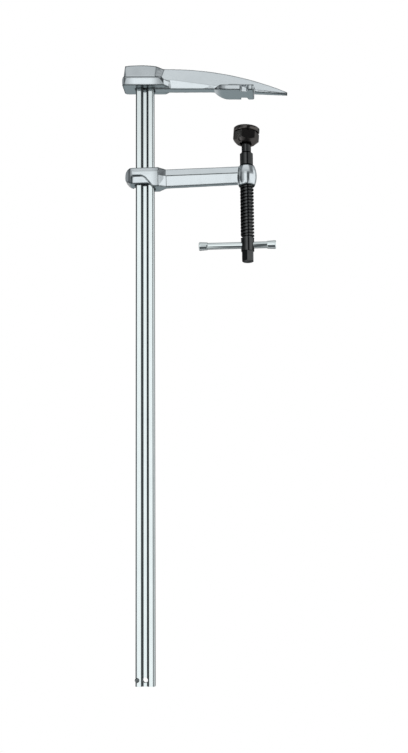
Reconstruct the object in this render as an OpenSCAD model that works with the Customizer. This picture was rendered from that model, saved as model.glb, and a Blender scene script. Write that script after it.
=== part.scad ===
// Rafter clamp: an all-steel screw clamp whose fixed jaw ends in a pointed beak.
// The origin is where the spindle's axis meets the pressing face of the fixed jaw.
// +Z runs up the rail and +X points to the beak's tip. All lengths are millimetres.

/* [Clamp] */
// Throat, from the rail's edge to the spindle's axis
throat = 110; // [90:1:140]
// Reach of the rail below the pressing face of the fixed jaw
rail_drop = 688; // [400:1:1200]
// Drop from that face to the top of the sliding arm
arm_drop = 90.2; // [85:0.1:260]

/* [Rail] */
// Width of the rail
rail_w = 22; // [20:0.5:28]
// Thickness of the rail
rail_t = 10.5; // [9:0.5:13]
// Radius of the rail's long edges
rail_edge_r = 2.2; // [0.5:0.1:2.5]
// Depth of the groove in each broad face
groove_depth = 2.4; // [1:0.1:3]
// Width of each groove at its mouth
groove_mouth_w = 9.2; // [8:0.1:11]
// Width of each groove at its floor
groove_floor_w = 3.7; // [3:0.1:7]
// Diameter of the hang hole
hang_hole_d = 6; // [4:0.1:7]
// Height of the hang hole and the stop pin over the rail's free end
end_hole_h = 6.8; // [5:0.1:14]
// Diameter of the stop pin
stop_pin_d = 5.2; // [4:0.1:6]
// Distance of the stop pin's axis from the rail's back edge
stop_pin_inset = 2.1; // [2:0.1:2.6]
// How far the stop pin stands out of each broad face
stop_pin_proud = 1; // [0.6:0.1:2]
// Height of the riveted swell at the rail's upper end
rivet_h = 3.5; // [2:0.1:5]
// Spread of that swell to each side
rivet_spread = 1.2; // [0.5:0.1:2]

/* [Fixed jaw head] */
// Lean of the fixed jaw towards the spindle, so that it stands square under load
jaw_toe_in = 2.2; // [0:0.1:3]
// Height of the head's underside over the pressing face
head_lift = 6.2; // [5.4:0.1:8]
// Height of the head up to its crown
head_h = 26.2; // [24:0.1:30]
// Height of the head's lower flange
flange_h = 11.2; // [9:0.1:13]
// Width of the head across its flange
head_w = 31; // [28:0.1:36]
// Width of the head across its top
head_top_w = 24; // [20:0.1:27]
// Rise of the head's crowned top
head_crown = 1.4; // [0.6:0.1:2]
// Metal behind the rail
head_back = 16; // [12:0.1:20]
// Metal in front of the rail, at full width
head_front = 2.2; // [2:0.1:5]
// Length over which the head narrows to the beak
head_neck = 18.5; // [16:0.1:24]
// Length of the slow turn of the flange's sides, before they run straight to the beak
flange_run = 10.8; // [8:0.1:13]
// Angle of that turn
flange_turn = 10; // [4:1:16]
// Length of the two slanted faces over the flange
block_taper = 10.2; // [8:0.1:14]
// Fall of the flange's top at the end of its turn
neck_fall = 3.2; // [1:0.1:5]
// Radius of the head's two back corners
head_corner_r = 8; // [4:0.1:12]
// Draft of the flange's sides below the parting line
flange_draft = 1.2; // [0.5:0.1:2]
// Bevel over the flange's edge
flange_bevel = 2; // [1:0.1:2.6]
// Lean of the head's back over its height
back_lean = 1.6; // [1:0.1:4]

/* [Beak and pressing lug] */
// Reach of the beak's tip beyond the spindle's axis
beak_reach = 50; // [40:0.5:60]
// Width of the beak's back where it leaves the head
beak_back_w = 8; // [6:0.1:10]
// Width of the beak at its parting line
beak_w = 15; // [13:0.1:18]
// Width of the beak's underside
beak_under_w = 11; // [9:0.1:13]
// Height of the beak's underside over the pressing face
beak_lift = 4.8; // [3.6:0.1:5.4]
// Width of the blunt tip
tip_w = 4.4; // [3:0.1:6]
// Thickness of the blunt tip
tip_t = 3.2; // [2:0.1:4.5]
// Depth of the tip below the pressing face
tip_dip = 0.5; // [0:0.1:2]
// Width of the pressing lug
lug_w = 31; // [28:0.1:34]
// Length of the lug behind the spindle's axis
lug_behind = 38; // [32:0.1:44]
// Length of the boat-shaped back end of the lug
bow_len = 19; // [14:0.1:24]
// Width of that back end at its tip
bow_tip_w = 7.4; // [4:0.1:9]
// Length of the lug ahead of the spindle's axis
lug_ahead = 10.3; // [9:0.1:14]
// Bevel of the lug's two front corners
lug_corner = 2; // [1:0.1:3]
// Height of the lug's upright sides
lug_side_h = 6.2; // [5:0.1:8]
// Height of the beak's parting line over those sides
part_rise = 2.3; // [1:0.1:4]
// Height of the two side notches
notch_h = 6.7; // [5:0.1:9]
// Width of the notches at their floor
notch_w = 6.9; // [5:0.1:8]
// Flare of each notch's front wall
notch_flare = 1.8; // [0.5:0.1:3]
// Depth of each notch
notch_depth = 6; // [4:0.1:7]
// Distance of the notches' back wall behind the spindle's axis
notch_back = 5.4; // [4:0.1:7]

/* [Sliding arm] */
// Metal behind the rail, to the crown of the rounded back
collar_back = 13.2; // [10:0.1:17]
// Metal in front of the rail, at full width
collar_front = 6; // [5:0.1:10]
// Width across the collar's cheeks
collar_w = 24; // [22.5:0.1:28]
// Width across the thin wall under the arch
wall_w = 17.6; // [17.5:0.1:20]
// Height of the collar in front of the rail
collar_h = 23.4; // [22:0.1:28]
// Height of the cheeks over the arch
cheek_h = 10; // [9:0.1:13]
// Draft of the cheeks towards their top and foot
cheek_draft = 1; // [0.4:0.1:1.4]
// Height of the thin wall under the arch, from the collar's top
wall_h = 19; // [17:0.1:21]
// Radius of the arch's bend
arch_r = 9; // [6:0.1:11]
// Distance of the arch's bend behind the rail's middle
arch_back = 5.5; // [4:0.1:8]
// Slope of the arch in front of its bend, in degrees
arch_slope = 50; // [42:1:60]
// Length of the two slanted shoulders between collar and arm
shoulder_run = 8.2; // [6:0.1:12]
// Drop of the arm's upper edge below the collar's top
arm_step = 0.9; // [0.4:0.1:3]
// Rise of the arm's lower edge above the collar's foot
arm_rise = 1; // [0.6:0.1:4]
// Further rise of that edge on its way to the eye
arm_taper = 2; // [0:0.1:4]
// Width of the arm's upper edge
arm_top_w = 8; // [6:0.1:10]
// Width of the arm at its parting line
arm_w = 13; // [11:0.1:16]
// Width of the arm's lower edge
arm_under_w = 7.4; // [6:0.1:10]
// Largest diameter of the barrel-shaped eye
eye_d = 24; // [22:0.1:28]
// Diameter of the eye at its ends
eye_end_d = 18.8; // [18.4:0.1:21]
// Height of the eye
eye_h = 24.6; // [20:0.1:28]
// Height of the eye's top over the collar's top
eye_lift = 0.8; // [0:0.1:2]
// Gap between the rail and the sliding collar on each side
slide_gap = 0.35; // [0.3:0.01:0.8]

/* [Spindle] */
// Outer diameter of the spindle's thread
thread_d = 16; // [14:0.1:16.4]
// Radial play of the thread in the eye
thread_play = 0.06; // [0.02:0.01:0.1]
// Length of the thread below the arm's top
thread_len = 88; // [70:0.5:120]
// Diameter of the plain collar above the eye
stop_d = 15.4; // [13:0.1:16]
// Height of that collar
stop_h = 16.6; // [10:0.1:20]
// Bevel over that collar, up to the neck
stop_bevel = 2; // [0.8:0.1:2.2]
// Gap between the eye and the collar resting over it
stop_gap = 0.6; // [0.4:0.1:1]
// Diameter of the neck
neck_d = 11.2; // [9:0.1:11.2]
// Diameter of the ball
ball_d = 14; // [13.6:0.1:14.6]
// Height of the ball's centre over the collar
ball_lift = 19.3; // [17:0.1:26]
// Diameter of the shank with the cross hole
shank_d = 15.4; // [13:0.1:15.8]
// Length of that shank
shank_len = 14.6; // [12:0.1:20]
// Width across the flats of the hexagon end
hex_af = 13; // [11:0.1:14]
// Length of the hexagon end
hex_len = 12.8; // [8:0.1:20]
// Turn of the hexagon's front corner, to the right of straight ahead
hex_turn = -3; // [-30:1:30]

/* [Pressure pad] */
// Diameter of the pressing plate
pad_d = 31; // [28:0.1:36]
// Thickness of the pressing plate
pad_plate_t = 5.2; // [4:0.1:7]
// Height of the whole pad
pad_h = 19; // [18.4:0.1:21]
// Width across the flats of the pad's body
pad_af = 27; // [25:0.1:30]
// Width of the turned groove under the pressing plate
pad_groove_w = 1.1; // [0.6:0.1:1.6]
// Diameter in that groove
pad_groove_d = 25; // [23.4:0.1:26.5]
// Diameter of the pad's lower end face
pad_end_d = 22; // [20.6:0.1:24]
// Slope of the turned bevel from there to the flats, in degrees
pad_bevel = 42; // [30:1:46]
// Metal over the ball
pad_roof = 3.2; // [2.6:0.1:4]
// Diameter of the mouth that the neck passes through
pad_mouth_d = 14.8; // [14.8:0.1:15.4]
// Diameter of the recess for the snap ring
pad_recess_d = 18.4; // [18:0.1:19.4]
// Height of the recess for the snap ring
pad_recess_h = 5; // [4.9:0.1:5.2]
// Gap between the ball and its socket
ball_gap = 0.3; // [0.2:0.05:0.5]
// Wire diameter of the snap ring
ring_wire_d = 2; // [1.6:0.1:2.1]
// Diameter of the snap ring at the middle of its wire
ring_d = 14.6; // [14.4:0.1:14.9]
// Lean of the loose pad at rest
pad_lean = 4.5; // [0:0.1:6]
// Turn of the pad's flats about the spindle's axis
pad_turn = 13; // [0:1:60]

/* [Tommy bar] */
// Diameter of the tommy bar
bar_d = 8; // [6:0.1:9]
// Radial gap of the bar in the spindle's cross hole
bar_gap = 0.1; // [0.05:0.01:0.3]
// Overall length of the bar with its caps
bar_len = 90.6; // [80:0.1:140]
// Shift of the bar's middle from the spindle's axis
bar_shift = -12.1; // [-16:0.1:16]
// Diameter of the flared caps
cap_d = 10.2; // [9.6:0.1:12]
// Diameter of each cap at its mouth
cap_mouth_d = 9.1; // [8.6:0.1:9.5]
// Length of each cap
cap_len = 10.2; // [8:0.1:14]
// Thickness of each cap's end
cap_end_t = 2; // [1:0.1:3]

/* [Hidden] */
$fn = 64;

bright = "silver";
black = "#24201f";
over = 1;
seat_gap = 0.1;
edge_break = 0.8;
root_inset = 0.3;
nut_bevel = 30;
beak_steps = 14;
beak_fullness = 2.4;

rail_x = -(throat + rail_w / 2);
rail_bottom = -rail_drop;
end_hole_z = rail_bottom + end_hole_h;
stop_pin_x = rail_x - rail_w / 2 + stop_pin_inset;

head_top = head_lift + head_h;
flange_top = head_lift + flange_h;
shoulder_z = head_top - head_crown;
head_mid = head_lift + head_h / 2;
head_x = (rail_x - head_mid * sin(jaw_toe_in)) / cos(jaw_toe_in);
rail_top = head_top * cos(jaw_toe_in) - head_x * sin(jaw_toe_in) - head_crown / 2;
back_x = -(rail_w / 2 + head_back);
front_x = rail_w / 2 + head_front;
neck_x = front_x + head_neck;

beak_start = head_x + rail_w / 2;
beak_root = head_x + neck_x;
part_root_z = flange_top - neck_fall / 2;
part_lug_z = lug_side_h + part_rise;
tip_under = -tip_dip;
tip_top = tip_under + tip_t;
back_run = beak_reach - beak_root;
back_drop = shoulder_z - tip_top;
beak_back_r = (pow(back_run, 2) + pow(back_drop, 2)) / (2 * back_drop);

arm_top = -arm_drop;
eye_top = arm_top + eye_lift;
eye_bottom = eye_top - eye_h;
collar_back_x = -(rail_w / 2 + collar_back);
collar_front_x = rail_w / 2 + collar_front;
dome_r = wall_h / 2;
dome_x = collar_back_x + dome_r;
wall_foot = arm_top - wall_h;
cheek_foot = arm_top - collar_h;
arch_z = arm_top - cheek_h;
arch_centre = [-arch_back, arch_z - arch_r];

stop_bottom = eye_top + stop_gap;
stop_top = stop_bottom + stop_h;
ball_z = stop_top + ball_lift;
thread_bottom = arm_top - thread_len;
shank_bottom = thread_bottom - shank_len;
hex_bottom = shank_bottom - hex_len;
bar_z = thread_bottom - shank_len / 2;

socket_r = ball_d / 2 + ball_gap;
pad_top = socket_r + pad_roof;
pad_bottom = pad_top - pad_h;
plate_bottom = pad_top - pad_plate_t;
ring_z = -sqrt(pow(ball_d / 2 + ring_wire_d / 2 + ball_gap, 2) - pow(ring_d / 2, 2));

bar_left = bar_shift - bar_len / 2;
bar_right = bar_shift + bar_len / 2;

// Points of an arc, from angle a0 to angle a1
function arc(centre, r, a0, a1, steps = 10) =
    [for (i = [0:steps]) let (a = a0 + (a1 - a0) * i / steps) centre + r * [cos(a), sin(a)]];

// The same outline followed by its mirror image across the first axis
function both_sides(points) =
    concat(points, [for (i = [len(points) - 1:-1:0]) [points[i][0], -points[i][1]]]);

// The same for an outline given as half widths and heights
function both_halves(points) =
    concat(points, [for (i = [len(points) - 1:-1:0]) [-points[i][0], points[i][1]]]);

// An outline in X and Z, extruded to both sides of the middle plane
module along_y(width) {
    rotate([90, 0, 0])
        linear_extrude(width, center = true)
            children();
}

// An outline in Y and Z, extruded in X from x0 to x1
module along_x(x0, x1) {
    translate([x0, 0, 0])
        rotate([90, 0, 90])
            linear_extrude(x1 - x0)
                children();
}

// An outline in X and Y, extruded in Z from z0 to z1
module along_z(z0, z1) {
    translate([0, 0, z0])
        linear_extrude(z1 - z0)
            children();
}

// Six-sided forged section: half widths and heights of its top, parting line and underside
function forged_section(x, top, part, under) = [
    [x, top[0], top[1]], [x, part[0], part[1]], [x, under[0], under[1]],
    [x, -under[0], under[1]], [x, -part[0], part[1]], [x, -top[0], top[1]]];

// A solid that runs through a row of six-sided sections
module forged_loft(sections) {
    side = 6;
    last = len(sections) - 1;
    points = [for (s = sections) each s];
    skin = [for (i = [0:last - 1], k = [0:side - 1])
        let (a = i * side + k, b = i * side + (k + 1) % side)
        each [[a, b, b + side], [a, b + side, a + side]]];
    start_cap = [for (k = [1:side - 2]) [0, k + 1, k]];
    end_cap = [for (k = [1:side - 2]) [for (corner = [0, k, k + 1]) last * side + corner]];
    polyhedron(points, concat(skin, start_cap, end_cap));
}

module rounded_outline(w, t, r) {
    square([w - 2 * r, t], center = true);
    square([w, t - 2 * r], center = true);
    for (sx = [-1, 1], sy = [-1, 1])
        translate([sx * (w / 2 - r), sy * (t / 2 - r)])
            circle(r);
}

module groove_outline() {
    polygon([[-groove_mouth_w / 2, rail_t / 2 + over], [-groove_mouth_w / 2, rail_t / 2],
             [-groove_floor_w / 2, rail_t / 2 - groove_depth],
             [groove_floor_w / 2, rail_t / 2 - groove_depth],
             [groove_mouth_w / 2, rail_t / 2], [groove_mouth_w / 2, rail_t / 2 + over]]);
}

// The riveted upper end of the rail, or with a gap the countersink that it fills
module rivet_swell(gap) {
    x0 = rail_w / 2 + gap;
    y0 = rail_t / 2 + gap;
    z0 = rail_top - rivet_h;
    z1 = rail_top + (gap > 0 ? head_crown + over : 0);
    spread = rivet_spread * (z1 - z0) / rivet_h;
    translate([rail_x, 0, 0])
        intersection() {
            along_y(3 * rail_t)
                polygon([[-x0, z0], [x0, z0], [x0 + spread, z1], [-x0 - spread, z1]]);
            along_x(-2 * rail_w, 2 * rail_w)
                polygon([[-y0, z0], [y0, z0], [y0 + spread, z1], [-y0 - spread, z1]]);
        }
}

module rail() {
    color(bright)
        difference() {
            union() {
                translate([rail_x, 0, 0])
                    along_z(rail_bottom, rail_top)
                        difference() {
                            rounded_outline(rail_w, rail_t, rail_edge_r);
                            groove_outline();
                            mirror([0, 1])
                                groove_outline();
                        }
                rivet_swell(0);
            }
            translate([rail_x, 0, end_hole_z])
                rotate([90, 0, 0])
                    cylinder(h = 2 * rail_t, d = hang_hole_d, center = true);
            translate([stop_pin_x, 0, end_hole_z])
                rotate([90, 0, 0])
                    cylinder(h = 2 * rail_t, d = stop_pin_d, center = true);
        }
}

module rail_stop_pin() {
    half = rail_t / 2 + stop_pin_proud;
    r = stop_pin_d / 2;
    color(bright)
        translate([stop_pin_x, 0, end_hole_z])
            rotate([90, 0, 0])
                rotate_extrude()
                    polygon([[0, -half], [r - edge_break, -half], [r, edge_break - half],
                             [r, half - edge_break], [r - edge_break, half], [0, half]]);
}

// Back corner of the head in plan
function head_corner(half) =
    arc([back_x + head_corner_r, half - head_corner_r], head_corner_r, 180, 90);

// Flange of the head: its outlines from the side, the end and the top cut each other
module head_flange() {
    half = head_w / 2;
    bevel_z = flange_top - flange_bevel;
    turn_x = front_x + flange_run;
    turn_r = flange_run / sin(flange_turn);
    intersection() {
        along_y(2 * head_w)
            polygon([[back_x + flange_draft, head_lift], [back_x, bevel_z],
                     [back_x + flange_bevel, flange_top], [turn_x - neck_fall, flange_top],
                     [turn_x, flange_top - neck_fall], [neck_x, flange_top - neck_fall],
                     [neck_x, head_lift]]);
        along_x(2 * back_x, 2 * neck_x)
            polygon(both_halves([[half - flange_draft, head_lift], [half, bevel_z],
                                 [half - flange_bevel, flange_top]]));
        along_z(head_lift - over, flange_top + over)
            polygon(both_sides(concat(
                head_corner(half),
                arc([front_x, half - turn_r], turn_r, 90, 90 - flange_turn),
                [[neck_x, beak_under_w / 2]])));
    }
}

// Block over the flange: crowned on top, with two slanted faces that lead into the beak
module head_block() {
    half = head_w / 2 - flange_bevel;
    half_top = head_top_w / 2;
    lean_x = back_x + flange_bevel + back_lean;
    span = front_x - lean_x;
    crown_r = (pow(span / 2, 2) + pow(head_crown, 2)) / (2 * head_crown);
    crown_a = asin(span / 2 / crown_r);
    crown_c = [(front_x + lean_x) / 2, head_top - crown_r];
    taper_x = front_x + block_taper;
    intersection() {
        along_y(2 * head_w)
            polygon(concat([[back_x + flange_bevel, flange_top - over]],
                           arc(crown_c, crown_r, 90 + crown_a, 90 - crown_a),
                           [[neck_x, shoulder_z - over], [neck_x, flange_top - neck_fall - over]]));
        along_x(2 * back_x, 2 * neck_x)
            polygon(both_halves([[half, flange_top - over], [half_top, head_top + over]]));
        along_z(flange_top - neck_fall - over, head_top + over)
            polygon(both_sides(concat(
                head_corner(half),
                [[front_x, half], [taper_x, beak_back_w / 2], [taper_x + over, over]])));
    }
}

// Height of the beak's curved back, a great arc that starts level at the head
function back_z(x) =
    let (run = max(0, x - beak_root))
    shoulder_z - (beak_back_r - sqrt(pow(beak_back_r, 2) - pow(run, 2)));

function mix(a, b, t) = a + (b - a) * t;

// Share of the way from x0 to x1, held at its ends
function share(x, x0, x1) = min(1, max(0, (x - x0) / (x1 - x0)));

// Height of the beak's parting line, from the head over the lug to the tip
function part_z(x) =
    x < -lug_behind
        ? mix(part_root_z, part_lug_z, share(x, beak_root, -lug_behind))
        : mix(part_lug_z, (tip_top + tip_under) / 2, share(x, -lug_behind, beak_reach));

// The pointed beak: six-sided sections that taper from the head to the blunt tip
module jaw_beak() {
    sections = [for (i = [0:beak_steps])
        let (taper = i / beak_steps,
             late = pow(taper, beak_fullness),
             x = mix(beak_start, beak_reach, taper),
             under_z = mix(beak_lift, tip_under, share(x, -lug_behind, beak_reach)))
        forged_section(x,
            [mix(beak_back_w, tip_w / 2, taper) / 2, back_z(x)],
            [mix(beak_w, tip_w, late) / 2, part_z(x)],
            [mix(beak_under_w, tip_w, late) / 2, under_z])];
    forged_loft(sections);
}

// The pressing lug under the beak, with its boat-shaped back end and a notch in each side
module jaw_lug() {
    half = lug_w / 2;
    bow_x = bow_len - lug_behind;
    bow_in = half - bow_tip_w / 2;
    bow_r = (pow(bow_len, 2) + pow(bow_in, 2)) / (2 * bow_in);
    bow_a = asin(bow_len / bow_r);
    rise_r = (pow(bow_len, 2) + pow(beak_lift, 2)) / (2 * beak_lift);
    rise_a = asin(bow_len / rise_r);
    shoulder = lug_side_h + beak_lift;
    floor_half = half - notch_depth;
    notch_front = notch_w - notch_back;
    difference() {
        intersection() {
            along_z(-over, shoulder)
                polygon(both_sides(concat(
                    arc([bow_x, half - bow_r], bow_r, 90 + bow_a, 90),
                    [[lug_ahead - lug_corner, half], [lug_ahead, half - lug_corner]])));
            along_y(2 * lug_w)
                polygon(concat(
                    arc([bow_x, rise_r], rise_r, 270 - rise_a, 270),
                    [[lug_ahead - edge_break, 0], [lug_ahead, edge_break], [lug_ahead, lug_side_h],
                     [lug_ahead - lug_corner, shoulder], [bow_x, shoulder],
                     [-lug_behind, beak_lift + edge_break]]));
            along_x(-2 * lug_behind, 2 * lug_ahead)
                polygon(both_halves([[half - edge_break, 0], [half, edge_break], [half, lug_side_h],
                                     [beak_under_w / 2, shoulder]]));
        }
        for (side = [-1, 1])
            along_z(-over, notch_h)
                polygon([[-notch_back, side * floor_half], [notch_front, side * floor_half],
                         [notch_front + notch_flare, side * half],
                         [notch_front + notch_flare, side * lug_w], [-notch_back, side * lug_w]]);
    }
}

module fixed_jaw() {
    color(bright)
        difference() {
            rotate([0, jaw_toe_in, 0])
                union() {
                    translate([head_x, 0, 0]) {
                        head_flange();
                        head_block();
                    }
                    jaw_beak();
                    jaw_lug();
                }
            translate([rail_x, 0, 0])
                along_z(-over, rail_top + head_h)
                    rounded_outline(rail_w + 2 * seat_gap, rail_t + 2 * seat_gap, rail_edge_r);
            rivet_swell(seat_gap);
        }
}

// Bend of the arch between its level stretch and its slope
arch_bend = arc(arch_centre, arch_r, 90, 90 - arch_slope);

// Place of the arch's slope at a height
function slope_x(z) =
    let (bend_end = arch_bend[len(arch_bend) - 1])
    bend_end[0] + (bend_end[1] - z) / tan(arch_slope);

// Side view of the collar: its rounded back, the underside given, and its foot in front of the rail
module collar_side(underside) {
    polygon(concat(
        arc([dome_x, arm_top - dome_r], dome_r, 90, 270),
        underside,
        [[slope_x(cheek_foot), cheek_foot], [collar_front_x, cheek_foot], [collar_front_x, arm_top]]));
}

// Top view of the collar, with its rounded back
module collar_plan(w) {
    r = collar_w / 2;
    polygon(both_sides(concat(
        arc([collar_back_x + r, w / 2 - r], r, 180 - asin((r - w / 2) / r), 90),
        [[collar_front_x, w / 2]])));
}

module collar_cheeks() {
    half = collar_w / 2;
    intersection() {
        along_y(2 * collar_w)
            collar_side(concat([[dome_x, arch_z]], arch_bend));
        along_z(cheek_foot - over, arm_top + over)
            collar_plan(collar_w);
        along_x(2 * collar_back_x, 2 * collar_front_x)
            polygon(both_halves([[half - cheek_draft, cheek_foot], [half, arch_z],
                                 [half, arm_top - cheek_h / 2], [half - cheek_draft, arm_top]]));
    }
}

module collar_wall() {
    intersection() {
        along_y(2 * collar_w)
            collar_side([[slope_x(wall_foot), wall_foot]]);
        along_z(cheek_foot - over, arm_top + over)
            collar_plan(wall_w);
    }
}

// The arm: six-sided sections from the collar, over two slanted shoulders, to the eye
module arm_beam() {
    root_half = collar_w / 2 - cheek_draft - root_inset;
    root_x = rail_x + collar_front_x;
    part_z = arch_z + root_inset;
    foot_z = cheek_foot + arm_rise;
    root_top = [root_half, arm_top - root_inset];
    root_part = [root_half + cheek_draft, part_z];
    root_foot = [root_half, cheek_foot + root_inset];
    slim_top = [arm_top_w / 2, arm_top - arm_step];
    slim_part = [arm_w / 2, part_z];
    slim_foot = [arm_under_w / 2, foot_z];
    forged_loft([
        forged_section(root_x - over, root_top, root_part, root_foot),
        forged_section(root_x, root_top, root_part, root_foot),
        forged_section(root_x + shoulder_run, slim_top, slim_part, slim_foot),
        forged_section(0, [arm_top_w / 2, arm_top], [arm_w / 2, part_z + arm_step],
                       [arm_under_w / 2, foot_z + arm_taper])]);
}

module arm_eye() {
    bulge = (eye_d - eye_end_d) / 2;
    barrel_r = (pow(eye_h / 2, 2) + pow(bulge, 2)) / (2 * bulge);
    barrel_a = asin(eye_h / 2 / barrel_r);
    translate([0, 0, eye_top - eye_h / 2])
        rotate_extrude()
            polygon(concat([[0, -eye_h / 2]],
                           arc([eye_d / 2 - barrel_r, 0], barrel_r, -barrel_a, barrel_a),
                           [[0, eye_h / 2]]));
}

module sliding_arm() {
    color(bright)
        difference() {
            union() {
                translate([rail_x, 0, 0]) {
                    collar_cheeks();
                    collar_wall();
                }
                arm_beam();
                arm_eye();
            }
            translate([rail_x, 0, 0])
                along_z(cheek_foot - over, arm_top + over)
                    rounded_outline(rail_w + 2 * slide_gap, rail_t + 2 * slide_gap, rail_edge_r);
            translate([0, 0, eye_bottom - over])
                cylinder(h = eye_h + 2 * over, r = thread_d / 2 + thread_play);
        }
}

// Hexagon end of the spindle, with its corners turned off at the foot
module spindle_hexagon() {
    corner_r = hex_af / sqrt(3) + over;
    end_r = hex_af / 2 - edge_break;
    intersection() {
        translate([0, 0, hex_bottom])
            rotate(30 + hex_turn)
                cylinder(h = hex_len + over, r = hex_af / sqrt(3), $fn = 6);
        rotate_extrude()
            polygon([[0, hex_bottom], [end_r, hex_bottom],
                     [corner_r, hex_bottom + (corner_r - end_r) * tan(nut_bevel)],
                     [corner_r, shank_bottom + over], [0, shank_bottom + over]]);
    }
}

module spindle() {
    color(black)
        difference() {
            union() {
                translate([0, 0, ball_z])
                    sphere(d = ball_d);
                translate([0, 0, stop_top - over])
                    cylinder(h = ball_lift + over, d = neck_d);
                rotate_extrude()
                    polygon([[0, stop_bottom], [stop_d / 2 - edge_break, stop_bottom],
                             [stop_d / 2, stop_bottom + edge_break], [stop_d / 2, stop_top - stop_bevel],
                             [stop_d / 2 - stop_bevel, stop_top], [0, stop_top]]);
                rotate_extrude()
                    polygon([[0, thread_bottom - over], [shank_d / 2, thread_bottom],
                             [thread_d / 2, thread_bottom + edge_break],
                             [thread_d / 2, eye_top - edge_break],
                             [thread_d / 2 - edge_break, eye_top], [neck_d / 2, eye_top],
                             [neck_d / 2, stop_bottom + over], [0, stop_bottom + over]]);
                translate([0, 0, shank_bottom])
                    cylinder(h = shank_len, d = shank_d);
                spindle_hexagon();
            }
            translate([0, 0, bar_z])
                rotate([0, 90, 0])
                    cylinder(h = 2 * thread_d, r = bar_d / 2 + bar_gap, center = true);
        }
}

// The pad's parts are placed from the middle of the ball
module at_ball(lean = 0) {
    translate([0, 0, ball_z])
        rotate([0, lean, 0])
            children();
}

module pad_body() {
    corner_r = pad_af / sqrt(3) + over;
    end_r = pad_end_d / 2;
    groove_r = pad_groove_d / 2;
    groove_bottom = plate_bottom - pad_groove_w;
    intersection() {
        translate([0, 0, pad_bottom])
            rotate(pad_turn)
                cylinder(h = pad_h, r = pad_af / sqrt(3), $fn = 6);
        rotate_extrude()
            polygon([[0, pad_bottom], [end_r, pad_bottom],
                     [corner_r, pad_bottom + (corner_r - end_r) * tan(pad_bevel)],
                     [corner_r, groove_bottom], [groove_r, groove_bottom],
                     [groove_r, plate_bottom + over], [0, plate_bottom + over]]);
    }
    rotate_extrude()
        polygon([[0, plate_bottom], [pad_d / 2 - edge_break, plate_bottom],
                 [pad_d / 2, plate_bottom + edge_break], [pad_d / 2, pad_top - edge_break],
                 [pad_d / 2 - edge_break, pad_top], [0, pad_top]]);
}

module pressure_pad() {
    color(black)
        at_ball(pad_lean)
            difference() {
                pad_body();
                sphere(r = socket_r);
                translate([0, 0, ring_z])
                    cylinder(h = -ring_z, r = socket_r);
                translate([0, 0, ring_z - pad_recess_h / 2])
                    cylinder(h = pad_recess_h, d = pad_recess_d);
                translate([0, 0, pad_bottom - over])
                    cylinder(h = ring_z - pad_bottom + over, d = pad_mouth_d);
            }
}

module pad_snap_ring() {
    color(bright)
        at_ball()
            translate([0, 0, ring_z])
                rotate_extrude()
                    translate([ring_d / 2, 0])
                        circle(d = ring_wire_d);
}

module tommy_bar() {
    length = bar_len - 2 * cap_end_t;
    color(bright)
        translate([bar_shift, 0, bar_z])
            rotate([0, 90, 0])
                cylinder(h = length, d = bar_d, center = true);
}

// A flared cap with its blind bore, standing on its open end at the origin
module bar_cap() {
    r0 = bar_d / 2;
    r1 = cap_d / 2;
    rotate_extrude()
        polygon([[r0, 0], [cap_mouth_d / 2, 0], [r1, cap_len - edge_break], [r1 - edge_break, cap_len],
                 [0, cap_len], [0, cap_len - cap_end_t], [r0, cap_len - cap_end_t]]);
}

module tommy_bar_end_left() {
    color(bright)
        translate([bar_left + cap_len, 0, bar_z])
            rotate([0, -90, 0])
                bar_cap();
}

module tommy_bar_end_right() {
    color(bright)
        translate([bar_right - cap_len, 0, bar_z])
            rotate([0, 90, 0])
                bar_cap();
}

rail();
fixed_jaw();
rail_stop_pin();
sliding_arm();
spindle();
pressure_pad();
pad_snap_ring();
tommy_bar();
tommy_bar_end_left();
tommy_bar_end_right();
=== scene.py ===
"""Looks of the rafter clamp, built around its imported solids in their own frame.

Metres, +Z up, the front towards -Y. The origin is where the spindle's axis meets the pressing face of the
fixed jaw.
"""
import math

import bpy
from mathutils import Matrix, Vector


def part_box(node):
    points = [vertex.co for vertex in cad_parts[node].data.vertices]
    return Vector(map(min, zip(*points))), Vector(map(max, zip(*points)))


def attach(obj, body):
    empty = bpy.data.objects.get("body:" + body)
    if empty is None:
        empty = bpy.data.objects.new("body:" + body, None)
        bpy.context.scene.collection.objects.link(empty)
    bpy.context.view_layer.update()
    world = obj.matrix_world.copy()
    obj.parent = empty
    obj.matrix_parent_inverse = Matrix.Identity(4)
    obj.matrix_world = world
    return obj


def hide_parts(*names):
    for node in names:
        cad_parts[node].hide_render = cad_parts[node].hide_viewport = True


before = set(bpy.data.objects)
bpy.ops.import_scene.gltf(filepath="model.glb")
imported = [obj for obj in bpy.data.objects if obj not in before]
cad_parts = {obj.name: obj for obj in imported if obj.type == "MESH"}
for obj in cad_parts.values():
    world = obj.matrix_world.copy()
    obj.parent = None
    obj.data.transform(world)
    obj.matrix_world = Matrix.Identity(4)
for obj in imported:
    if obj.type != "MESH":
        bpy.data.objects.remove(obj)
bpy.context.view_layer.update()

# Camera, fitted to the photograph
PHOTO_HEIGHT = 753           # pixels
FOCAL_PIXELS = 1050.0
SENSOR = 36.0                # mm, along the picture's long side
CAMERA_AZIMUTH = 4.0         # degrees to the right of straight ahead
CAMERA_ELEVATION = -8.0      # degrees, so the clamp is seen from a little below
CAMERA_ROLL = -0.486         # degrees
CAMERA_DISTANCE = 1.2157
CAMERA_TARGET = (-0.05275, 0.0, -0.34025)

# Forged edges
FORGED_VOXEL = 0.00045       # grain of the mesh that rounds a forging's edges
FORGED_SMOOTHING = 4         # passes
SMOOTHING_SHARE = 0.5        # of the way to the neighbours' middle, in each pass
HAMMER_DEPTH = 0.00010       # hollows left by the die
HAMMER_SIZE = 0.007
HAMMER_LEVEL = 1.0           # of the noise that leaves the skin where it is, so hollows only go inwards

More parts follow.
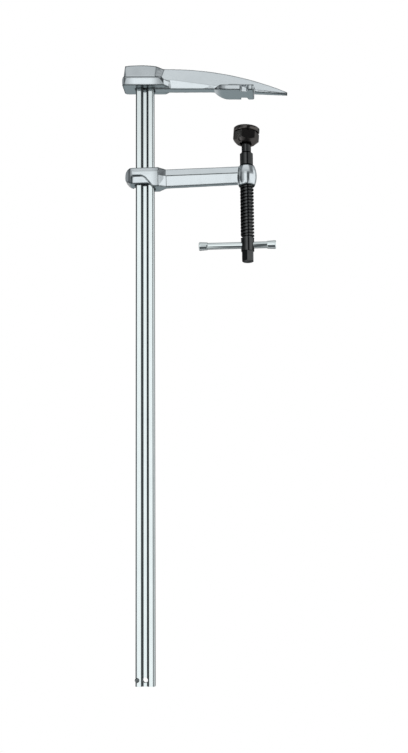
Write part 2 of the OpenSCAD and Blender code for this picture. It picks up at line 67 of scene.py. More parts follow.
# Spindle thread, right-handed and trapezoidal
THREAD_PITCH = 0.004
THREAD_D = 0.016
THREAD_ROOT_D = 0.0122
GROOVE_ROOT_W = 0.0013       # along the axis
FLANK_ANGLE = 15.0           # degrees
HEX_LEN = 0.0128
SHANK_LEN = 0.0146
COLLAR_FOOT_Z = -0.0888      # where the stop collar sits on the thread
RELIEF_W = 0.0022            # plain grooves at both ends of the thread
RELIEF_LIFT = 0.0008         # of the lower one over the shank
CUT_OVER = 0.0006            # how far a cutter stands outside what it cuts
TURN_STEPS = 64

# Bevels on the edges of turned and drawn pieces
BEVELS = {
    "rail": 0.00025,
    "rail_stop_pin": 0.0003,
    "pressure_pad": 0.0005,
    "tommy_bar": 0.0003,
    "tommy_bar_end_left": 0.0009,
    "tommy_bar_end_right": 0.0009,
}
BEVEL_ANGLE = 28.0           # degrees, sharper edges than this are broken
BEVEL_SEGMENTS = 3
WELD_REACH = 1e-6            # within which the solids' corners are joined

# Trimmed flash along the arm's parting line, from the shoulder to the eye
FLASH_H = 0.0010
FLASH_PROUD = 0.0001
FLASH_DEPTH = 0.0008
ARM_W = 0.013
FLASH_START = (-0.0958, -0.0999)    # X and Z
FLASH_END = (-0.0104, -0.0991)
FLASH_FACES = [(0, 1, 3, 2), (4, 6, 7, 5), (0, 4, 5, 1), (1, 5, 7, 3), (3, 7, 6, 2), (2, 6, 4, 0)]

# Noise in the metals, and the ways a share goes through a span
NOISE_SPAN = (0.3, 0.7)      # holds most of a noise's values
NOISE_DETAIL = 3.0
GRAIN_SIZE = 0.0008          # of forged and of blackened steel
GRAIN_DETAIL = 4.0
RISING = (0.0, 1.0)
FALLING = (1.0, 0.0)
RAMP_MIDDLE = 0.5            # where a ramp's new stop is made, before it gets its place

# Plated bar stock; a rim is the share of light that plating sends back at a flat angle
BAR_RIM = 0.2
BAR_TONES = ((0.87, 0.905, 0.90), (0.91, 0.94, 0.935))
BAR_CLOUD = 0.02
DRAWN_LINE_W = 0.0006
DRAWN_STRETCH = 120.0        # length of a drawing line in widths
DRAWN_RELIEF = (0.04, 0.00003)      # strength and depth
RAIL_ROUGHNESS = (0.10, 0.17)
TOMMY_ROUGHNESS = (0.05, 0.10)
TOMMY_UNDERSIDE = (-0.96, -0.78)    # Z of the normal, from painted shade to bright
TOMMY_UNDER_SHADE_TONE = (0.30, 0.32, 0.325)
DULL_ROUGHNESS = 0.3         # of undersides

# Painted shade on the flanks of the rail's grooves, standing in for their dark reflections: its share by the
# normal's X
FLANK_SHADE = ((0.08, 0.0), (0.28, 1.0), (0.85, 1.0), (0.98, 0.0))
FLANK_SHADE_TONE = (0.13, 0.142, 0.146)
FLANK_ROUGHNESS = 0.6
SHADE_FADE_FROM = 0.003          # inwards from the rail's edge on the jaw's side
SHADE_FADE_TO = 0.002            # from here to the edge the painted shade on the flanks mostly fades out
SHADE_FADE_SHARE = 0.75
HOLE_SHADE = (0.35, 0.65)    # free share round a point, from painted shade in the hole and near other pieces to the open rail
HOLE_SHADE_TONE = (0.10, 0.11, 0.11)

# Plated forgings
FORGING_RIM = 0.35
FORGING_TONES = ((0.77, 0.79, 0.81), (0.82, 0.84, 0.86))
FORGING_ROUGHNESS = (0.09, 0.15)
FORGING_RELIEF = (0.12, 0.0001)     # strength and depth
PATCH_SIZE = 0.016
PATCH_SPAN = (0.50, 0.68)    # of the noise, from smooth to pitted
PATCH_SHARE = (0.1, 1.0)
PIT_SPAN = (0.52, 0.68)      # of the grain
PIT_SHARE = (0.0, 0.5)
PIT_TONE = (0.52, 0.55, 0.57)
UNDERSIDE = (-0.97, -0.88)   # Z of the normal, from painted shade with a duller finish to bright
UNDERSIDE_SHADE_TONE = (0.43, 0.485, 0.505)

# Painted shade at the two ends of the head's flange: from bright to shaded along X, and below a height
FLANGE_BACK = (-0.131, -0.148)
FLANGE_FRONT = (-0.114, -0.099)
FLANGE_STOP = (-0.0990, -0.0975)
FLANGE_TOP = (0.0205, 0.0215)
FLANGE_SIDES = (0.75, 0.9)   # Y of the normal, from bevels to upright sides
FLANGE_SHADE_TONE = (0.29, 0.305, 0.315)
MOTTLE_SPAN = (0.35, 0.65)   # of the grain
MOTTLE_SHARE = (0.75, 1.0)

# The lug's two side notches, without the painted edge shade and with a matt roof that has no painted
# underside shade: their ends along X, foot and top
NOTCH_BACK = (-0.0066, -0.0058)
NOTCH_FRONT = (0.0030, 0.0040)
NOTCH_FOOT = (-0.004, -0.002)
NOTCH_TOP = (0.0098, 0.0106)
ROOF_FOOT = (0.003, 0.004)   # from here up, a face in a notch that looks down is its roof
ROOF_ROUGHNESS = 0.7

# Painted shade as dark lines along a forging's ridges, and in its corners and where pieces meet: how far
# from a point metal counts, and the free share round it, from dark to bright
EDGE_REACH = 0.0018
EDGE_SHADE = (0.80, 0.99)
CORNER_REACH = 0.0030
CORNER_SHADE = (0.38, 0.74)
EDGE_SHADE_TONE = (0.10, 0.115, 0.12)
SHADE_SAMPLES = 12

# Blackened spindle and pad
SPINDLE_RIM = 0.2
SPINDLE_TONES = ((0.074, 0.074, 0.075), (0.094, 0.092, 0.091))
PAD_RIM = 0.5
PAD_TONES = ((0.100, 0.090, 0.086), (0.125, 0.106, 0.098))
OXIDE_CLOUD = 0.012
OXIDE_SPAN = (0.32, 0.68)
OXIDE_ROUGHNESS = (0.08, 0.14)
OXIDE_RELIEF = (0.05, 0.00004)      # strength and depth
UP = 1
DOWN = -1
WORN_FACES = (0.975, 0.99)   # Z of the normal, towards the worn side
WORN_TONE = (0.30, 0.305, 0.305)
WORN_CLOUD = 0.004
WORN_SPAN = (0.40, 0.62)
WORN_SHARE = (0.55, 1.0)

# Plain steels of the stop pin, the trimmed flash and the snap ring: size of their clouds, span of the noise,
# two tones and roughness
DULL_STEEL = (0.002, (0.4, 0.62), ((0.10, 0.11, 0.11), (0.22, 0.23, 0.23)), 0.3)
SPRING_STEEL = (0.003, (0.35, 0.65), ((0.30, 0.31, 0.34), (0.38, 0.38, 0.39)), 0.35)

# Floor and lamp
FLOOR_Y = 0.38
FLOOR_Z = -0.95              # clear of the arm at the foot of the rail, and below the picture
FLOOR_RADIUS = 0.50
FLOOR_STEPS = 96
FLOOR_GLOW = 0.20            # white that the floor shows to the camera and in metal, over the light it gets
FLOOR_FADE = 0.12            # from here out the floor thins into the white backdrop
FLOOR_TONE = (0.86, 0.87, 0.87)
FLOOR_ROUGHNESS = 0.9
LAMP_PLACE = (-0.05, -0.35, 0.85)
LAMP_TARGET = (-0.05, 0.0, -0.5)
LAMP_SIZE = 1.0
LAMP_POWER = 9.0             # watts

# Studio round the clamp
STUDIO_TINT = (0.945, 1.0, 1.01)
FLAG_SHADE = (0.085, 0.09, 0.095)
BACKDROP_Y = (0.86, 0.95)    # of a direction, from the side to the white backdrop
BACKDROP_Z = (-0.16, -0.06)
# Each panel: (azimuth, light) stops round the clamp, 0 in front and 90 on the right, then (height, light)
PANELS = {
    "front": (((-62, 0), (-50, 0.3), (-34, 0.5), (-22, 1), (0, 1), (7, 0)),
              ((-40, 0), (-24, 0.06), (-19, 0.9), (18, 0.9), (23, 0.7), (28, 0.3), (34, 0))),
    "above the front": (((-75, 0), (-50, 1), (28, 1), (50, 0)),
                        ((23, 0), (28, 0.3), (36, 0.5), (47, 0.64), (60, 0.72), (70, 0.5), (80, 0))),
    "right": (((27, 0), (39, 1), (120, 1), (132, 0)),
              ((-60, 0), (-18, 0.1), (-9, 0.9), (14, 0.9), (24, 0.11), (60, 0.11), (80, 0))),
    "above the right": (((84, 0), (92, 1), (120, 1), (136, 0)),
                        ((14, 0), (24, 0.76), (30, 0.76), (44, 0))),
    "behind": (((-180, 1), (-130, 1), (-118, 0), (132, 0), (146, 1)),
               ((-20, 0), (-8, 0.9), (34, 0.85), (48, 0.25), (56, 0.25), (62, 0.6), (76, 0.6), (84, 0.12))),
    "left": (((-112, 0), (-102, 1), (-82, 1), (-72, 0)),
             ((-64, 0), (-50, 0.6), (-9, 0.8), (1, 0))),
    "above the left": (((-124, 0), (-114, 1), (-82, 1), (-68, 0)),
                       ((8, 0), (14, 0.22), (30, 0.22), (40, 0))),
    "below": (((-180, 1), (-30, 1), (-20, 0), (14, 0), (24, 1)),
              ((-74, 0), (-60, 0.55), (-18, 0.55), (-9, 0))),
    "ceiling": (((-180, 1), (180, 1)),
                ((60, 0), (80, 0.22))),
}


def placed(name, data):
    """A new object of the scene that shows a mesh, a lamp or a camera."""
    thing = bpy.data.objects.new(name, data)
    bpy.context.scene.collection.objects.link(thing)
    return thing


def grey(shade):
    """A colour with the same value in its three channels."""
    return (shade, shade, shade)


def fill(tree, socket, value):
    """Sets an input to a number or a colour, or links it to another node's output."""
    if isinstance(value, (int, float)):
        socket.default_value = value
    elif isinstance(value, tuple):
        socket.default_value = (*value, 1.0)
    else:
        tree.links.new(value, socket)


def math_node(tree, operation, *values):
    """The result of one operation on numbers or sockets."""
    node = tree.nodes.new("ShaderNodeMath")
    node.operation = operation
    for socket, value in zip(node.inputs, values):
        fill(tree, socket, value)
    return node.outputs[0]


def product(tree, first, *others):
    """All the values multiplied."""
    for other in others:
        first = math_node(tree, "MULTIPLY", first, other)
    return first


def highest(tree, first, *others):
    """The highest of the values."""
    for other in others:
        first = math_node(tree, "MAXIMUM", first, other)
    return first


def parts_of(tree, vector):
    """The outputs X, Y and Z of a vector."""
    node = tree.nodes.new("ShaderNodeSeparateXYZ")
    tree.links.new(vector, node.inputs["Vector"])
    return node.outputs


def spread(tree, value, span, result, ends="SMOOTHSTEP"):
    """A value in a span taken to another span, with soft ends unless they are LINEAR."""
    node = tree.nodes.new("ShaderNodeMapRange")
    node.interpolation_type = ends
    tree.links.new(value, node.inputs["Value"])
    for name, number in zip(("From Min", "From Max", "To Min", "To Max"), (*span, *result)):
        node.inputs[name].default_value = number
    return node.outputs["Result"]


def ramp(tree, value, stops):
    """A colour ramp through (position, colour or grey) stops."""
    node = tree.nodes.new("ShaderNodeValToRGB")
    tree.links.new(value, node.inputs["Fac"])
    elements = node.color_ramp.elements
    while len(elements) < len(stops):
        elements.new(RAMP_MIDDLE)
    for element, (position, colour) in zip(elements, stops):
        element.position = position
        shade = grey(colour) if isinstance(colour, (int, float)) else colour
        element.color = (*shade, 1.0)
    return node.outputs["Color"]


def between(tree, value, span, tones):
    """A colour that goes from the first of two tones to the second as a value goes through a span."""
    return ramp(tree, value, tuple(zip(span, tones)))


def mixed(tree, share, first, second, blend="MIX"):
    """Two colours mixed; each is a socket or a colour."""
    node = tree.nodes.new("ShaderNodeMix")
    node.data_type = "RGBA"
    node.blend_type = blend
    for name, value in (("Factor", share), ("A", first), ("B", second)):
        fill(tree, next(s for s in node.inputs if s.name == name and s.enabled), value)
    return next(s for s in node.outputs if s.enabled)


def noise(tree, place, size, stretch=(1, 1, 1), detail=NOISE_DETAIL):
    """Noise with features of a size in metres, drawn out by the stretch along each axis."""
    mapping = tree.nodes.new("ShaderNodeMapping")
    mapping.inputs["Scale"].default_value = [1.0 / s for s in stretch]
    tree.links.new(place.outputs["Object"], mapping.inputs["Vector"])
    node = tree.nodes.new("ShaderNodeTexNoise")
    node.inputs["Scale"].default_value = 1.0 / size
    node.inputs["Detail"].default_value = detail
    tree.links.new(mapping.outputs["Vector"], node.inputs["Vector"])
    return node.outputs["Fac"]


def bump(tree, shader, height, strength, depth):
    """A fine relief on the shader's normal."""
    node = tree.nodes.new("ShaderNodeBump")
    node.inputs["Strength"].default_value = strength
    node.inputs["Distance"].default_value = depth
    tree.links.new(height, node.inputs["Height"])
    tree.links.new(node.outputs["Normal"], shader.inputs["Normal"])


def free_share(tree, reach, inside):
    """Share of the way round a point that is free of metal within a reach, outside or inside the piece."""
    node = tree.nodes.new("ShaderNodeAmbientOcclusion")
    node.samples = SHADE_SAMPLES
    node.inside = inside
    node.only_local = inside
    node.inputs["Distance"].default_value = reach
    return node.outputs["AO"]


def named_material(name):
    """A material with its node tree, its shader and a coordinate node."""
    material = bpy.data.materials.new(name)
    material.use_nodes = True
    tree = material.node_tree
    shader = tree.nodes["Principled BSDF"]
    place = tree.nodes.new("ShaderNodeTexCoord")
    return material, tree, shader, place


def metal(name, rim=1.0):
    """A metal with its node tree, its shader and a coordinate node, darkened to the rim at flat angles."""
    material, tree, shader, place = named_material(name)
    shader.inputs["Metallic"].default_value = 1.0
    shader.inputs["Specular Tint"].default_value = (*grey(rim), 1.0)
    return material, tree, shader, place


def coat(tree, shader, colour, roughness):
    """Gives a shader its colour and its roughness."""
    fill(tree, shader.inputs["Base Color"], colour)
    fill(tree, shader.inputs["Roughness"], roughness)


def groove_shade(tree, place, colour, roughness):
    """Colour and roughness with painted shade on the flanks of the rail's grooves, which are rougher there,
    and painted shade in its hole and where other metal comes near.
    """
    normal = parts_of(tree, place.outputs["Normal"])
    spot = parts_of(tree, place.outputs["Object"])
    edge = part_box("rail")[1].x
    wear_and_shade_fade = spread(tree, spot["X"], (edge - SHADE_FADE_FROM, edge - SHADE_FADE_TO), (0.0, SHADE_FADE_SHARE))
    # painted shade on the groove flanks, set by the normal's X, fading out towards the rail's edge on the
    # jaw's side
    forged_skin_and_flank_shade = ramp(tree, math_node(tree, "ABSOLUTE", normal["X"]), FLANK_SHADE)
    forged_skin_and_flank_shade = mixed(tree, wear_and_shade_fade, forged_skin_and_flank_shade, grey(0.0))
    # painted shade in the rail's hole and where other metal comes near it
    hole_shade = spread(tree, free_share(tree, CORNER_REACH, False), HOLE_SHADE, FALLING)
    colour = mixed(tree, forged_skin_and_flank_shade, colour, FLANK_SHADE_TONE)
    colour = mixed(tree, hole_shade, colour, HOLE_SHADE_TONE)
    return colour, mixed(tree, forged_skin_and_flank_shade, roughness, grey(FLANK_ROUGHNESS))


def shaded_underside(tree, place, colour, roughness):
    """Colour and roughness with painted shade and a duller finish on the underside, as on the tommy bar and
    its ends.
    """
    normal = parts_of(tree, place.outputs["Normal"])
    # painted shade on the faces that look down, which are duller too
    shaded_under = spread(tree, normal["Z"], TOMMY_UNDERSIDE, FALLING)
    colour = mixed(tree, shaded_under, colour, TOMMY_UNDER_SHADE_TONE)
    return colour, mixed(tree, shaded_under, roughness, grey(DULL_ROUGHNESS))


def plated_bar(name, along, roughness_span, shade_and_dulling):
    """Bright plated bar stock with fine lines from drawing it along an axis, and its own painted shade, with
    a duller finish where it lies.
    """
    material, tree, shader, place = metal(name, BAR_RIM)
    stretch = tuple(DRAWN_STRETCH if axis == along else 1.0 for axis in "XYZ")
    lines = noise(tree, place, DRAWN_LINE_W, stretch)
    clouds = noise(tree, place, BAR_CLOUD)
    colour = between(tree, clouds, NOISE_SPAN, BAR_TONES)
    roughness = spread(tree, lines, NOISE_SPAN, roughness_span)
    coat(tree, shader, *shade_and_dulling(tree, place, colour, roughness))
    bump(tree, shader, lines, *DRAWN_RELIEF)
    return material


def outside_notches(tree, spot):
    """1 all over a forging, and 0 in the lug's two side notches."""
    behind = spread(tree, spot["X"], NOTCH_BACK, FALLING)
    ahead = spread(tree, spot["X"], NOTCH_FRONT, RISING)
    below = spread(tree, spot["Z"], NOTCH_FOOT, FALLING)
    above = spread(tree, spot["Z"], NOTCH_TOP, RISING)
    return highest(tree, behind, ahead, below, above)


def flange_end_shade(tree, spot, normal, grain):
    """Share of painted shade, mottled by the grain, on the upright sides of the head's flange, towards its
    two ends.
    """
    back = spread(tree, spot["X"], FLANGE_BACK, RISING)
    front = spread(tree, spot["X"], FLANGE_FRONT, RISING)
    front = product(tree, front, spread(tree, spot["X"], FLANGE_STOP, FALLING))
    upright = spread(tree, math_node(tree, "ABSOLUTE", normal["Y"]), FLANGE_SIDES, RISING)
    low = spread(tree, spot["Z"], FLANGE_TOP, FALLING)
    mottle = spread(tree, grain, MOTTLE_SPAN, MOTTLE_SHARE)
    return product(tree, highest(tree, back, front), upright, low, mottle)


def painted_edge_shade(tree):
    """Share of the painted shade along a forging's ridges and in its corners."""
    ridges = spread(tree, free_share(tree, EDGE_REACH, True), EDGE_SHADE, FALLING)
    corners = spread(tree, free_share(tree, CORNER_REACH, False), CORNER_SHADE, FALLING)
    return highest(tree, ridges, corners)


def plated_forging():
    """Plated drop forging: bright, with a fine grain in patches, painted shade along its edges and in its
    corners, at the ends of the head's flange, and on its undersides, which are duller too.
    """
    material, tree, shader, place = metal("plated_forging", FORGING_RIM)
    spot = parts_of(tree, place.outputs["Object"])
    normal = parts_of(tree, place.outputs["Normal"])
    grain = noise(tree, place, GRAIN_SIZE, detail=GRAIN_DETAIL)
    clouds = noise(tree, place, PATCH_SIZE)
    patch = spread(tree, clouds, PATCH_SPAN, PATCH_SHARE)
    pits = product(tree, spread(tree, grain, PIT_SPAN, PIT_SHARE), patch)
    outside = outside_notches(tree, spot)
    inside = math_node(tree, "SUBTRACT", 1.0, outside)
    facing_down = spread(tree, normal["Z"], UNDERSIDE, FALLING)
    roof = product(tree, facing_down, inside, spread(tree, spot["Z"], ROOF_FOOT, RISING))
    shaded_under = math_node(tree, "SUBTRACT", facing_down, roof)
    colour = between(tree, clouds, NOISE_SPAN, FORGING_TONES)
    colour = mixed(tree, pits, colour, PIT_TONE)
    # painted shade on the undersides, left off the roofs of the notches
    colour = mixed(tree, shaded_under, colour, UNDERSIDE_SHADE_TONE)
    # painted shade towards the two ends of the head's flange
    colour = mixed(tree, flange_end_shade(tree, spot, normal, grain), colour, FLANGE_SHADE_TONE)
    # painted shade along ridges and in corners, left out of the notches
    colour = mixed(tree, product(tree, painted_edge_shade(tree), outside), colour, EDGE_SHADE_TONE)
    roughness = spread(tree, clouds, NOISE_SPAN, FORGING_ROUGHNESS)
    roughness = mixed(tree, shaded_under, roughness, grey(DULL_ROUGHNESS))
    roughness = mixed(tree, roof, roughness, grey(ROOF_ROUGHNESS))
    coat(tree, shader, colour, roughness)
    bump(tree, shader, product(tree, grain, patch), *FORGING_RELIEF)
    return material


def black_oxide(name, tones, rim, worn_side):
    """Blackened and oiled steel between two tones, worn on the faces that look UP or DOWN."""
    material, tree, shader, place = metal(name, rim)
    normal = parts_of(tree, place.outputs["Normal"])
    grain = noise(tree, place, GRAIN_SIZE, detail=GRAIN_DETAIL)
    colour = between(tree, noise(tree, place, OXIDE_CLOUD), OXIDE_SPAN, tones)
    facing = spread(tree, product(tree, normal["Z"], worn_side), WORN_FACES, RISING)
    wear_and_shade_fade = spread(tree, noise(tree, place, WORN_CLOUD), WORN_SPAN, WORN_SHARE)
    colour = mixed(tree, product(tree, facing, wear_and_shade_fade), colour, WORN_TONE)
    coat(tree, shader, colour, spread(tree, grain, NOISE_SPAN, OXIDE_ROUGHNESS))
    bump(tree, shader, grain, *OXIDE_RELIEF)
    return material


def plain_steel(name, cloud_size, span, tones, roughness):
    """Plain steel in clouds of two tones."""
    material, tree, shader, place = metal(name)
    coat(tree, shader, between(tree, noise(tree, place, cloud_size), span, tones), roughness)
    return material


def paint(piece, material):
    """One material over a whole piece."""
    piece.data.materials.clear()
    piece.data.materials.append(material)


def forged_edges(piece):
    """Rounds the edges of a forging and leaves the shallow hollows of its die."""
    forged_skin_and_flank_shade = piece.modifiers.new("forged_skin", "REMESH")
    forged_skin_and_flank_shade.mode = "VOXEL"
    forged_skin_and_flank_shade.voxel_size = FORGED_VOXEL
    forged_skin_and_flank_shade.use_smooth_shade = True
    soft = piece.modifiers.new("soft_edges", "SMOOTH")
    soft.factor = SMOOTHING_SHARE
    soft.iterations = FORGED_SMOOTHING
    hollows = bpy.data.textures.new(piece.name + "_hollows", "CLOUDS")
    hollows.noise_scale = HAMMER_SIZE
    dent = piece.modifiers.new("die_hollows", "DISPLACE")
    dent.texture = hollows
    dent.texture_coords = "LOCAL"
    dent.strength = HAMMER_DEPTH
    dent.mid_level = HAMMER_LEVEL


def broken_edges(piece, width):
    """A small bevel on the sharp edges of a machined piece."""
    piece.modifiers.new("joined_corners", "WELD").merge_threshold = WELD_REACH
    bevel = piece.modifiers.new("broken_edges", "BEVEL")
    bevel.width = width
    bevel.segments = BEVEL_SEGMENTS
    bevel.limit_method = "ANGLE"
    bevel.angle_limit = math.radians(BEVEL_ANGLE)
    bevel.harden_normals = True


def flash_line(name, side):
    """The strip that trimming the forging's flash left along one side of the arm."""
    outer = side * (ARM_W / 2 + FLASH_PROUD)
    inner = side * (ARM_W / 2 - FLASH_DEPTH)
    points = []
    for x, z in (FLASH_START, FLASH_END):
        points += [(x, y, z + rise) for rise in (-FLASH_H / 2, FLASH_H / 2) for y in (inner, outer)]
    mesh = bpy.data.meshes.new(name)
    mesh.from_pydata(points, [], FLASH_FACES if side < 0 else [face[::-1] for face in FLASH_FACES])
    piece = placed(name, mesh)
    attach(piece, "sliding_arm")
    return piece


def swept_faces(count, rings, total):
    """Four-sided faces between rings of count points each, where the last ring may be the first again."""
    faces = []
    for start in range(0, rings * count, count):
        for k in range(count):
            a = start + k
            b = start + (k + 1) % count
            faces.append((a % total, (a + count) % total, (b + count) % total, b % total))
    return faces


def swept_cutter(name, section, turns, bottom, pitch):
    """A solid to cut with: (radius, height) points turned about the spindle's axis, rising by the pitch."""
    rings = int(turns * TURN_STEPS)
    closed = pitch == 0.0
    points = []
    for ring in range(rings + (not closed)):
        angle = 2 * math.pi * ring / TURN_STEPS
        rise = bottom + pitch * ring / TURN_STEPS
        points += [(r * math.cos(angle), r * math.sin(angle), rise + z) for r, z in section]
    count = len(section)
    total = len(points)
    faces = swept_faces(count, rings, total)
    if not closed:
        faces.append(tuple(range(count)))
        faces.append(tuple(reversed(range(total - count, total))))
    mesh = bpy.data.meshes.new(name)
    mesh.from_pydata(points, [], faces)
    mesh.validate()
    return placed(name, mesh)


def thread_section():
    """The groove between two thread crests: root, flanks, and a stretch outside the bar."""
    root = THREAD_ROOT_D / 2
    outside = THREAD_D / 2 + CUT_OVER
    half_root = GROOVE_ROOT_W / 2
    half_out = half_root + (outside - root) * math.tan(math.radians(FLANK_ANGLE))
    return [(root, -half_root), (outside, -half_out), (outside, half_out), (root, half_root)]


def relief_section():
    """A plain round groove down to the thread's root."""
    root = THREAD_ROOT_D / 2
    outside = THREAD_D / 2 + CUT_OVER
    return [(root, 0.0), (outside, 0.0), (outside, RELIEF_W), (root, RELIEF_W)]


def thread_cutters():
    """What is cut from the plain spindle: the thread, and a plain groove at each of its ends."""
    thread_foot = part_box("spindle")[0].z + HEX_LEN + SHANK_LEN + RELIEF_LIFT
    turns = (COLLAR_FOOT_Z - thread_foot - RELIEF_W) / THREAD_PITCH
    return [
        swept_cutter("cut_thread", thread_section(), turns, thread_foot + RELIEF_W / 2, THREAD_PITCH),
        swept_cutter("cut_foot", relief_section(), 1, thread_foot, 0.0),
        swept_cutter("cut_head", relief_section(), 1, COLLAR_FOOT_Z - RELIEF_W, 0.0),
    ]


def threaded_mesh():
    """The spindle's mesh with its thread cut."""
    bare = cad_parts["spindle"].data.copy()
    bare.attributes.remove(bare.attributes["custom_normal"])
    cutters = thread_cutters()
    blank = placed("spindle_blank", bare)
    blank.modifiers.new("joined_corners", "WELD").merge_threshold = WELD_REACH
    for tool in cutters:
        cut = blank.modifiers.new(tool.name, "BOOLEAN")
        cut.operation = "DIFFERENCE"
        cut.solver = "EXACT"
        cut.object = tool
    graph = bpy.context.evaluated_depsgraph_get()
    mesh = bpy.data.meshes.new_from_object(blank.evaluated_get(graph))
    for leftover in [blank, *cutters]:
        bpy.data.objects.remove(leftover)
    return mesh


def threaded_spindle():
    """The spindle with its thread, standing for the plain solid."""
    mesh = threaded_mesh()
    mesh.name = "spindle_threaded"
    mesh.shade_smooth()
    mesh.set_sharp_from_angle(angle=math.radians(BEVEL_ANGLE))
    piece = placed("spindle_threaded", mesh)
    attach(piece, "spindle")
    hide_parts("spindle")
    return piece


def add_camera():
    """The camera that took the photograph."""
    azimuth = math.radians(CAMERA_AZIMUTH)
    elevation = math.radians(CAMERA_ELEVATION)
    roll = math.radians(CAMERA_ROLL)
    level = math.cos(elevation)
    back = Vector((math.sin(azimuth) * level, -math.cos(azimuth) * level, math.sin(elevation)))
    right = Vector((0.0, 0.0, 1.0)).cross(back).normalized()
    up = back.cross(right)
    across = right * math.cos(roll) + up * math.sin(roll)
    upright = up * math.cos(roll) - right * math.sin(roll)
    lens = bpy.data.cameras.new("camera")
    lens.sensor_width = SENSOR
    lens.lens = FOCAL_PIXELS * SENSOR / PHOTO_HEIGHT
    camera = placed("camera", lens)
    turn = Matrix((across, upright, back)).transposed().to_4x4()
    camera.matrix_world = Matrix.Translation(Vector(CAMERA_TARGET) + back * CAMERA_DISTANCE) @ turn
    bpy.context.scene.camera = camera


def seen_directly(tree):
    """1 for a camera ray, and 1 for the rays that a mirror or glass sends out."""
    path = tree.nodes.new("ShaderNodeLightPath")
    mirrored = highest(tree, path.outputs["Is Glossy Ray"], path.outputs["Is Transmission Ray"])
    return path.outputs["Is Camera Ray"], mirrored


def panel(tree, around, rise, sides, heights):
    """Light of one panel: its brightness round the clamp times its brightness by height."""
    across = ramp(tree, around, [((angle + 180) / 360, shade) for angle, shade in sides])
    upwards = ramp(tree, rise, [((angle + 90) / 180, shade) for angle, shade in heights])
    return mixed(tree, 1.0, across, upwards, "MULTIPLY")


def studio_light(tree, way):
    """Light from each direction: the panels, and dark flags between them."""
    azimuth = math_node(tree, "ARCTAN2", way["X"], math_node(tree, "MULTIPLY", way["Y"], -1.0))
    height = math_node(tree, "ARCSINE", way["Z"])
    around = spread(tree, azimuth, (-math.pi, math.pi), RISING, "LINEAR")
    rise = spread(tree, height, (-math.pi / 2, math.pi / 2), RISING, "LINEAR")
    light = FLAG_SHADE
    for sides, heights in PANELS.values():
        light = mixed(tree, 1.0, light, panel(tree, around, rise, sides, heights), "ADD")
    return mixed(tree, 1.0, light, STUDIO_TINT, "MULTIPLY")


def add_world():
    """A studio whose backdrop is white, both straight to the camera and in metal that mirrors it."""
    world = bpy.data.worlds.new("studio")
    world.use_nodes = True
    bpy.context.scene.world = world
    tree = world.node_tree
    place = tree.nodes.new("ShaderNodeTexCoord")
    way = parts_of(tree, place.outputs["Generated"])
    camera, mirrored = seen_directly(tree)
    behind = spread(tree, way["Y"], BACKDROP_Y, RISING)
    raised = spread(tree, way["Z"], BACKDROP_Z, RISING)
    white = highest(tree, camera, product(tree, mirrored, behind, raised))
    shade = mixed(tree, white, studio_light(tree, way), grey(1.0))
    tree.links.new(shade, tree.nodes["Background"].inputs["Color"])


def floor_material():
    """Pale floor that keeps the shadow, thins into the white backdrop and hides nothing from below."""
    material, tree, shader, place = named_material("pale_floor")
    coat(tree, shader, FLOOR_TONE, FLOOR_ROUGHNESS)
    length = tree.nodes.new("ShaderNodeVectorMath")
    length.operation = "LENGTH"
    tree.links.new(place.outputs["Object"], length.inputs[0])
    there = spread(tree, length.outputs["Value"], (FLOOR_FADE, FLOOR_RADIUS), FALLING)
    side = tree.nodes.new("ShaderNodeNewGeometry")
    above = math_node(tree, "SUBTRACT", 1.0, side.outputs["Backfacing"])
    tree.links.new(product(tree, there, above), shader.inputs["Alpha"])
    shader.inputs["Emission Color"].default_value = (*grey(1.0), 1.0)
    glow = product(tree, highest(tree, *seen_directly(tree)), FLOOR_GLOW)
    tree.links.new(glow, shader.inputs["Emission Strength"])
    return material


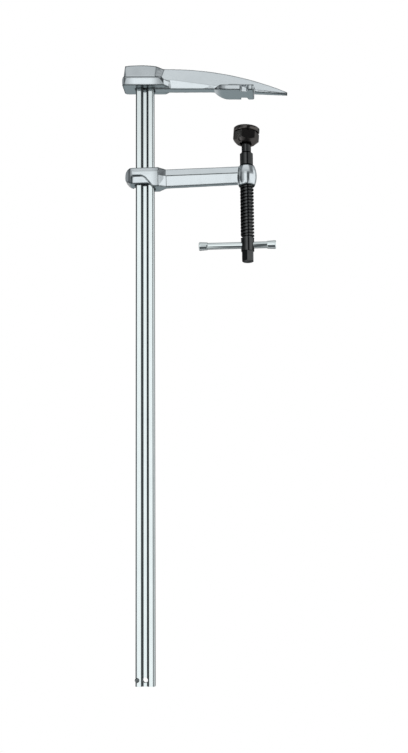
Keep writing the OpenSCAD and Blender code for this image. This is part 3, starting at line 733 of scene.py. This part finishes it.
def add_floor():
    """A round floor below the clamp."""
    angles = [2 * math.pi * k / FLOOR_STEPS for k in range(FLOOR_STEPS)]
    ring = [(FLOOR_RADIUS * math.cos(angle), FLOOR_RADIUS * math.sin(angle), 0.0) for angle in angles]
    mesh = bpy.data.meshes.new("floor")
    mesh.from_pydata(ring, [], [tuple(range(FLOOR_STEPS))])
    mesh.materials.append(floor_material())
    floor = placed("floor", mesh)
    floor.location = (CAMERA_TARGET[0], FLOOR_Y, FLOOR_Z)


def add_lamp():
    """A square soft lamp over the clamp, which no metal mirrors."""
    data = bpy.data.lights.new("overhead", "AREA")
    data.size = LAMP_SIZE
    data.energy = LAMP_POWER
    lamp = placed("overhead", data)
    lamp.location = LAMP_PLACE
    lamp.rotation_mode = "QUATERNION"
    lamp.rotation_quaternion = (Vector(LAMP_TARGET) - Vector(LAMP_PLACE)).to_track_quat("-Z", "Y")
    lamp.visible_glossy = False


def dress_forgings(nodes):
    """The fixed jaw and the arm with their forged edges, and the arm's two flash lines."""
    forging = plated_forging()
    for name in ("fixed_jaw", "sliding_arm"):
        forged_edges(nodes[name])
        paint(nodes[name], forging)
    trimmed = plain_steel("trimmed_flash", *DULL_STEEL)
    for name, side in (("arm_flash_front", -1), ("arm_flash_back", 1)):
        paint(flash_line(name, side), trimmed)


def dress_bars(nodes):
    """The rail with its stop pin, and the tommy bar with its ends."""
    paint(nodes["rail"], plated_bar("plated_rail", "Z", RAIL_ROUGHNESS, groove_shade))
    paint(nodes["rail_stop_pin"], plain_steel("pin_steel", *DULL_STEEL))
    bar_steel = plated_bar("plated_bar", "X", TOMMY_ROUGHNESS, shaded_underside)
    for name in ("tommy_bar", "tommy_bar_end_left", "tommy_bar_end_right"):
        paint(nodes[name], bar_steel)


def dress_screw(nodes):
    """The spindle with its thread cut, and the pad with its ring."""
    paint(threaded_spindle(), black_oxide("black_oxide", SPINDLE_TONES, SPINDLE_RIM, DOWN))
    paint(nodes["pressure_pad"], black_oxide("brown_oxide", PAD_TONES, PAD_RIM, UP))
    paint(nodes["pad_snap_ring"], plain_steel("spring_steel", *SPRING_STEEL))


cad_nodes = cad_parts
bpy.context.scene.view_settings.view_transform = "Standard"
add_camera()
add_world()
add_floor()
add_lamp()
dress_screw(cad_nodes)
dress_bars(cad_nodes)
dress_forgings(cad_nodes)
for node_name, bevel_width in BEVELS.items():
    broken_edges(cad_nodes[node_name], bevel_width)
